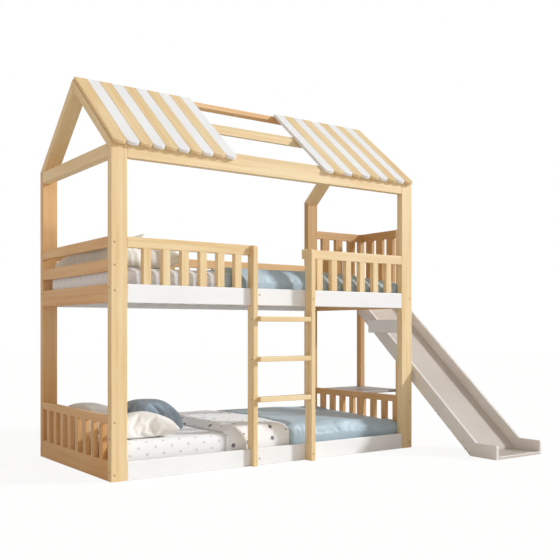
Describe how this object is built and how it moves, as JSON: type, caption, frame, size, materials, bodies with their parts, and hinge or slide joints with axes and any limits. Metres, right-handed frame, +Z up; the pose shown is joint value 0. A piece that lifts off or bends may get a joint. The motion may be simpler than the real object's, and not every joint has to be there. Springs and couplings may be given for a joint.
{
  "type": "bunk bed",
  "caption": "Wooden house-shaped bunk bed with a slatted roof, a fixed ladder, guard rails, made-up mattresses and a side platform with a slide.",
  "frame": {"origin": "centre of the footprint on the floor, slide included", "axes": "+X from the head end to the platform and slide end, +Y from the ladder side to the back, +Z up"},
  "size_m": [2.53, 1.683, 2.1314],
  "materials": {
    "pine": "clear satin varnish",
    "white_paint": "white satin paint",
    "slide_paint": "smooth off-white paint",
    "sheet_cotton": "white cotton with small grey dots",
    "quilt_cotton": "pale cotton with small dark stars and dots",
    "cream_cotton": "cream cotton with a small print",
    "greige_cotton": "grey-beige cotton",
    "blue_satin": "grey-blue satin"
  },
  "bodies": {
    "root": {"post_front_left": "pine", "post_back_left": "pine", "rafter_front_left": "pine", "rafter_back_left": "pine", "post_front_right": "pine", "post_back_right": "pine", "rafter_front_right": "pine", "rafter_back_right": "pine", "tie_beam": "pine", "eave_beam": "pine", "purlin": "pine", "ridge_batten": "pine", "head_rail_low": "pine", "head_rail_middle": "pine", "head_rail_top": "pine", "foot_rail": "pine", "guard_front_left": "pine", "guard_front_right": "pine", "guard_back": "pine", "end_panel_head": "pine", "end_panel_foot": "pine", "ladder_rail_left": "pine", "ladder_rail_right": "pine", "ladder_tread_1": "pine", "ladder_tread_2": "pine", "ladder_tread_3": "pine", "tower_leg_front": "pine", "tower_leg_back": "pine", "deck_beam_front": "pine", "deck_beam_back": "pine", "deck_beam_side": "pine", "deck": "pine", "tower_guard_back": "pine", "tower_guard_side": "pine", "roof_slats_left": "white_paint", "roof_slats_right": "white_paint", "lower_rail_front": "white_paint", "lower_rail_back": "white_paint", "upper_rail_front": "white_paint", "upper_rail_back": "white_paint", "bed_base_lower": "white_paint", "bed_base_upper": "white_paint", "shelf": "white_paint", "slide_tie_board": "white_paint", "slide_wall_near": "slide_paint", "slide_wall_far": "slide_paint", "slide_foot_wall_near": "slide_paint", "slide_foot_wall_far": "slide_paint", "slide_chute": "slide_paint", "slide_foot_board": "slide_paint", "mattress_lower": "sheet_cotton", "mattress_upper": "sheet_cotton", "quilt_lower": "quilt_cotton", "pillow_cream": "cream_cotton", "pillow_upper": "greige_cotton", "pillow_upper_top": "greige_cotton", "pillow_pale": "greige_cotton", "cover_lower": "blue_satin", "cover_upper": "blue_satin", "pillow_blue": "blue_satin"}
  },
  "joints": []
}
